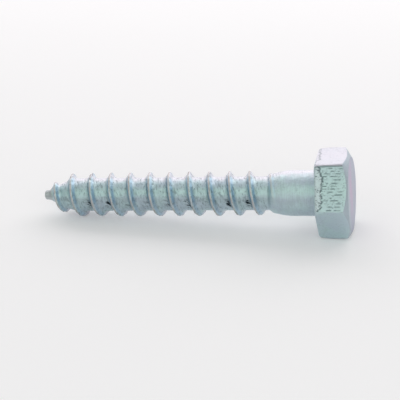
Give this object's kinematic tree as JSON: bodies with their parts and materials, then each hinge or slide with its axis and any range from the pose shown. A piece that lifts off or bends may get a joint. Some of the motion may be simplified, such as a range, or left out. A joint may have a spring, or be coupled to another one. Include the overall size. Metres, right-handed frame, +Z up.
{
  "type": "lag screw",
  "caption": "Hexagon-head wood lag screw, bright zinc plated, with a coarse rolled thread, a plain shank under the head and a blunt point, lying as it comes to rest.",
  "frame": {"origin": "middle of the base of the bounding box: the point on the table below the middle of the screw as it lies", "axes": "+X from the point towards the head, level, so the screw's own axis rises about 4 degrees from it; +Z up; +Y across. Two flats of the head face down and up."},
  "size_m": [0.0696, 0.0196, 0.0174],
  "materials": {
    "zinc_plated_steel": "bright zinc plating over forged and rolled steel: satin, slightly blue-green and pink in places, with drag marks on the flats and small dark laps at the thread's roots"
  },
  "bodies": {
    "root": {"lag_screw": "zinc_plated_steel"}
  },
  "joints": []
}
